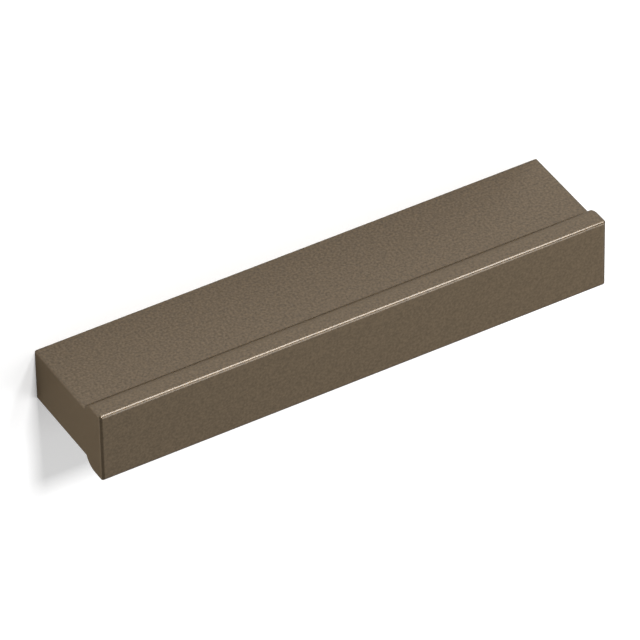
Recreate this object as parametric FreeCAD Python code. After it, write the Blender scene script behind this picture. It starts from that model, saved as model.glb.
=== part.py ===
# A finger pull for a drawer or cupboard front, cut from one solid bar.
#
# Seen from the end it is a T: a narrow stem stands on the furniture front, and a taller head
# overhangs it above and below.  Behind the head a round shoulder runs down to the stem, and
# the fingertips hook over that shoulder to pull.  Two screws come from behind, through the
# furniture front, into blind holes in the stem.
#
# X runs along the bar, Y across it and Z out of the furniture front.  The origin is the
# middle of the mounting face.  All sizes are in millimetres.
import FreeCAD, Part
import math
import os

# The bar
hole_spacing = 128.0      # between the two screws, a standard pitch for pulls
hole_end_margin = 6.0     # from a screw to the nearer end of the bar
projection = 32.0         # from the mounting face to the front of the head
face_height = 20.0        # of the head, across the bar
ledge = 2.5               # by which the head overhangs the stem, above and below

# The head's section
land_depth = 3.8          # flat stretch behind the front face, before the shoulder starts
shoulder_radius = 4.6     # round shoulder from the land down to the stem

# Rounded edges
end_edge = 0.5            # where the sides of the head and the stem meet the ends
front_edge = 0.8          # the rim of the front face

# The screw holes, drilled and ready for an M4 thread
core_diameter = 3.3
hole_depth = 12.0         # full diameter, measured from the mounting face
drill_point_angle = 118.0
mouth_diameter = 4.2      # where the countersink meets the mounting face
mouth_angle = 90.0

# Sizes that follow from those
length = hole_spacing + 2 * hole_end_margin
stem_height = face_height - 2 * ledge
shoulder_start = projection - land_depth

# Differences smaller than this are rounding errors
tolerance = 1e-6


def shoulder_point(side, turn):
    """A point of the upper (side 1) or lower (side -1) shoulder, turned so far from the land."""
    across = face_height / 2 - shoulder_radius * (1 - math.cos(turn))
    out = shoulder_start - shoulder_radius * math.sin(turn)
    return FreeCAD.Vector(-length / 2, side * across, out)


def shoulder_arc(side):
    """The shoulder in the section: a quarter turn, of which the last part is inside the stem."""
    stations = [shoulder_point(side, turn) for turn in (0, math.pi / 4, math.pi / 2)]
    return Part.Arc(*stations).toShape()


def head_bar():
    """The head with square ends: its section, drawn at one end and pushed along the bar."""
    front = [FreeCAD.Vector(-length / 2, side * face_height / 2, projection) for side in (1, -1)]
    land_end = [shoulder_point(side, 0) for side in (1, -1)]
    inner_end = [shoulder_point(side, math.pi / 2) for side in (1, -1)]
    outline = [
        Part.makeLine(inner_end[1], inner_end[0]),
        shoulder_arc(1),
        Part.makeLine(land_end[0], front[0]),
        Part.makeLine(front[0], front[1]),
        Part.makeLine(front[1], land_end[1]),
        shoulder_arc(-1),
    ]
    section = Part.Face(Part.Wire(Part.__sortEdges__(outline)))
    return section.extrude(FreeCAD.Vector(length, 0, 0))


def head():
    """The head, rounded all along the outline of its ends and then round its front face."""
    bar = head_bar()
    front_plane = projection - tolerance
    at_ends = [edge for edge in bar.Edges if edge.BoundBox.XLength < tolerance]
    behind_front = [edge for edge in at_ends if edge.BoundBox.ZMin < front_plane]
    bar = bar.makeFillet(end_edge, behind_front)
    rim = [edge for edge in bar.Edges if edge.BoundBox.ZMin > front_plane]
    return bar.makeFillet(front_edge, rim)


def stem():
    """The stem, which runs up into the head, with its four upright edges rounded."""
    corner = FreeCAD.Vector(-length / 2, -stem_height / 2, 0)
    block = Part.makeBox(length, stem_height, shoulder_start, corner)
    uprights = [edge for edge in block.Edges if edge.BoundBox.ZLength > tolerance]
    return block.makeFillet(end_edge, uprights)


def screw_hole(x):
    """The space of one blind hole: a countersunk mouth, a straight core and a drill point."""
    core = core_diameter / 2
    mouth = mouth_diameter / 2
    mouth_depth = (mouth - core) / math.tan(math.radians(mouth_angle / 2))
    point_depth = core / math.tan(math.radians(drill_point_angle / 2))
    outline = [
        FreeCAD.Vector(0, 0, 0),
        FreeCAD.Vector(mouth, 0, 0),
        FreeCAD.Vector(core, 0, mouth_depth),
        FreeCAD.Vector(core, 0, hole_depth),
        FreeCAD.Vector(0, 0, hole_depth + point_depth),
    ]
    half = Part.Face(Part.makePolygon(outline + outline[:1]))
    hole = half.revolve(FreeCAD.Vector(0, 0, 0), FreeCAD.Vector(0, 0, 1), 360)
    hole.translate(FreeCAD.Vector(x, 0, 0))
    return hole


def finger_pull():
    """Stem and head as the one piece that they are, with the two screw holes."""
    bar = stem().fuse(head()).removeSplitter()
    holes = [screw_hole(side * hole_spacing / 2) for side in (-1, 1)]
    return bar.cut(holes)


os.makedirs("parts", exist_ok=True)
pull = finger_pull().Solids[0]
pull.exportStep("parts/finger_pull_profile.step")
print("solid", pull.isValid(), "faces", len(pull.Faces), "volume %.1f" % pull.Volume)
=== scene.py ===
"""Looks of the finger pull: bronze anodised aluminium on a white board, in soft studio light."""

import math

import bpy
from mathutils import Matrix, Vector

MM = 0.001

# The camera stands off along azimuth and elevation, in degrees, from the point it aims at, and is
# rolled about its view.  Lens and sensor are in millimetres.
LENS, SENSOR_WIDTH = 412.59, 36.0
AZIMUTH, ELEVATION, ROLL = 120.436, 41.715, 137.464
AIM = Vector((8.0798, -17.1304, 0.0)) * MM
DISTANCE = 1787.06 * MM

# Soft boxes: direction from the pull, distance, width and height in metres, power in watts.
# The key lights the upper side, and the side and front boxes the front.  The rim and overhead
# strips draw the two pale lines along its rim, so they are as long as its round mirrors them.
SOFT_BOXES = {
    "key": ((-0.02, 0.62, 0.78), 1.2, 0.15, 0.15, 7.95),
    "side": ((0.76, -0.34, 0.56), 1.0, 0.6, 0.6, 1.1),
    "front": ((0.42, -0.62, 0.66), 1.0, 0.6, 0.6, 0.53),
    "rim": ((0.38, 0.858, 0.347), 2.0, 0.31, 1.3, 19.0),
    "overhead": ((0.38, -0.081, 0.921), 2.0, 0.31, 1.7, 8.9),
}
ROOM_LEVEL = 0.28

# The board's width in metres, and what whitens it where it is seen, straight or mirrored, with
# no more light on the pull.
BOARD_WIDTH = 6.0
BOARD_LIFT = 0.12

# The metal: dark and light flecks of the grain, and the plain surfaces without it.
DARK_FLECK, LIGHT_FLECK, PLAIN = "4D4130", "6B5B46", "6D5F4C"
FLECK_SIZE = 0.62 * MM
GRAIN_ON_FRONT = 0.6
HOLLOW_PLAIN_AND_SHADED_AT = -0.6      # Z of the normal at which the hollow under the head has become plain and least glossy, darkest as painted shade
PLAIN_GLOSS, GRAIN_GLOSS = 0.07, 0.58

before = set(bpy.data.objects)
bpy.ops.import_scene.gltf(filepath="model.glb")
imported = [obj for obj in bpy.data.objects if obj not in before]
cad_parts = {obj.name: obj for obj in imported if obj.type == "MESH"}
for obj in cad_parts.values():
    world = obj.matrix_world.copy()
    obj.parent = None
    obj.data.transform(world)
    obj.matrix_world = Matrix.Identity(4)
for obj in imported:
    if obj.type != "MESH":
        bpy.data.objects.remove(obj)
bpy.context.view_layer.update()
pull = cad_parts["finger_pull_profile"]


def linear(hex_colour):
    """An sRGB hex colour such as 6E5D48 as linear red, green, blue and full alpha."""
    channels = [int(hex_colour[i:i + 2], 16) / 255 for i in (0, 2, 4)]
    return [c / 12.92 if c <= 0.04045 else ((c + 0.055) / 1.055) ** 2.4 for c in channels] + [1.0]


def add_node(tree, kind, settings=None, inputs=None, links=None):
    """Adds a node; inputs are constants by socket, links are (node, its socket) by socket."""
    node = tree.nodes.new(kind)
    for name, value in (settings or {}).items():
        setattr(node, name, value)
    for socket, value in (inputs or {}).items():
        node.inputs[socket].default_value = value
    for socket, (source, output) in (links or {}).items():
        tree.links.new(source.outputs[output], node.inputs[socket])
    return node


def new_material(name):
    """A material whose node tree is still empty."""
    material = bpy.data.materials.new(name)
    material.use_nodes = True
    material.node_tree.nodes.clear()
    return material


def bronze_anodised_aluminium():
    """Blasted aluminium, dyed bronze and sealed: a warm grey-brown satin metal.

    A fine light and dark grain covers the long sides and, weaker, the front.  The sealed layer
    is a thin colourless gloss, which shows as the pale lines along the front's rim.  The sawn
    ends and the back are plain and less glossy.  The hollow under the head is made plain and
    less glossy too, which darkens it as painted shade.
    """
    material = new_material("bronze_anodised_aluminium")
    tree = material.node_tree
    place = add_node(tree, "ShaderNodeTexCoord")

    # How far a surface shows the grain: fully on the long sides, less on the front, not on the
    #  ends and the back, and less and less where the shoulder turns in under the head.  There the
    #  fading grain and gloss darken the hollow as painted shade.
    facing = add_node(tree, "ShaderNodeSeparateXYZ", links={0: (place, "Normal")})
    across = add_node(tree, "ShaderNodeMath", {"operation": "ABSOLUTE"}, links={0: (facing, "Y")})
    outer = add_node(tree, "ShaderNodeMath", {"operation": "MULTIPLY_ADD", "use_clamp": True},
                     {1: GRAIN_ON_FRONT}, {0: (facing, "Z"), 2: (across, 0)})
    grain_and_hollow_shade = add_node(tree, "ShaderNodeMapRange",
                       inputs={"From Min": HOLLOW_PLAIN_AND_SHADED_AT, "From Max": 0.0},
                       links={0: (facing, "Z"), "To Max": (outer, 0)})

    # Blasting leaves pits of about 0.1 mm, drawn coarser so that they show at the photo's size.
    grain = add_node(tree, "ShaderNodeTexNoise", inputs={"Scale": 1 / FLECK_SIZE, "Detail": 1.0},
                     links={"Vector": (place, "Object")})
    fleck = add_node(tree, "ShaderNodeMapRange", inputs={"From Min": 0.25, "From Max": 0.75},
                     links={0: (grain, "Fac")})
    flecked = add_node(tree, "ShaderNodeMix", {"data_type": "RGBA"},
                       {6: linear(DARK_FLECK), 7: linear(LIGHT_FLECK)}, {0: (fleck, 0)})
    colour = add_node(tree, "ShaderNodeMix", {"data_type": "RGBA"}, {6: linear(PLAIN)},
                      {0: (grain_and_hollow_shade, 0), 7: (flecked, 2)})

    # Less gloss in the hollow under the head darkens it: painted shade.
    gloss = add_node(tree, "ShaderNodeMath", {"operation": "MULTIPLY_ADD"},
                     {1: GRAIN_GLOSS, 2: PLAIN_GLOSS}, {0: (grain_and_hollow_shade, 0)})
    shader = add_node(tree, "ShaderNodeBsdfPrincipled",
                      inputs={"Metallic": 0.8, "Roughness": 0.38, "Specular IOR Level": 0.1,
                              "Specular Tint": (0.25, 0.25, 0.25, 1), "Coat Roughness": 0.05},
                      links={"Base Color": (colour, 2), "Coat Weight": (gloss, 0)})
    add_node(tree, "ShaderNodeOutputMaterial", links={"Surface": (shader, "BSDF")})
    return material


def white_board():
    """Matt white board: plain white in the light, grey where the pull shades it."""
    material = new_material("white_board")
    tree = material.node_tree
    board = add_node(tree, "ShaderNodeBsdfDiffuse", inputs={"Color": linear("FFFFFF")})

    path = add_node(tree, "ShaderNodeLightPath")
    straight_or_mirrored = add_node(tree, "ShaderNodeMath", {"operation": "MAXIMUM"},
                                    links={0: (path, "Is Camera Ray"), 1: (path, "Is Glossy Ray")})
    seen = add_node(tree, "ShaderNodeMath", {"operation": "MAXIMUM"},
                    links={0: (straight_or_mirrored, 0), 1: (path, "Is Transmission Ray")})
    lift = add_node(tree, "ShaderNodeMath", {"operation": "MULTIPLY"}, {1: BOARD_LIFT},
                    {0: (seen, 0)})
    glow = add_node(tree, "ShaderNodeEmission", links={"Strength": (lift, 0)})
    whitened = add_node(tree, "ShaderNodeAddShader", links={0: (board, 0), 1: (glow, 0)})
    add_node(tree, "ShaderNodeOutputMaterial", links={"Surface": (whitened, 0)})
    return material


def lay_floor():
    """The board that the pull stands on."""
    bpy.ops.object.select_all(action="DESELECT")
    bpy.ops.mesh.primitive_plane_add(size=BOARD_WIDTH)
    floor = bpy.context.active_object
    floor.name = "floor"
    floor.data.materials.append(white_board())


def soft_box(name, toward, distance, width, height, power):
    """A soft box facing the pull, its width along the bar."""
    lamp = bpy.data.lights.new(name, "AREA")
    lamp.shape = "RECTANGLE"
    lamp.size, lamp.size_y, lamp.energy = width, height, power
    light = bpy.data.objects.new(name, lamp)
    bpy.context.scene.collection.objects.link(light)
    back = Vector(toward).normalized()
    up = back.cross((1, 0, 0)).normalized()
    turn = Matrix((up.cross(back), up, back)).transposed()
    light.matrix_world = Matrix.Translation(back * distance) @ turn.to_4x4()


def light_room():
    """Even white light from all round."""
    world = bpy.data.worlds.new("studio")
    bpy.context.scene.world = world
    world.use_nodes = True
    background = world.node_tree.nodes["Background"]
    background.inputs["Color"].default_value = (1, 1, 1, 1)
    background.inputs["Strength"].default_value = ROOM_LEVEL


def place_camera():
    """The photo's view of the pull."""
    camera_data = bpy.data.cameras.new("photo_camera")
    camera = bpy.data.objects.new("photo_camera", camera_data)
    bpy.context.scene.collection.objects.link(camera)
    bpy.context.scene.camera = camera
    camera_data.sensor_width = SENSOR_WIDTH
    camera_data.lens = LENS
    az, el, roll = (math.radians(a) for a in (AZIMUTH, ELEVATION, ROLL))
    back = Vector((math.cos(el) * math.cos(az), math.cos(el) * math.sin(az), math.sin(el)))
    level = Vector((0, 0, 1)).cross(back).normalized()
    upright = back.cross(level)
    right = level * math.cos(roll) + upright * math.sin(roll)
    turn = Matrix((right, back.cross(right), back)).transposed()
    camera.matrix_world = Matrix.Translation(AIM + back * DISTANCE) @ turn.to_4x4()


metal = bronze_anodised_aluminium()
for slot in pull.material_slots:
    slot.material = metal

lay_floor()
for name, box in SOFT_BOXES.items():
    soft_box(name, *box)
light_room()
place_camera()
bpy.context.scene.view_settings.view_transform = "Standard"
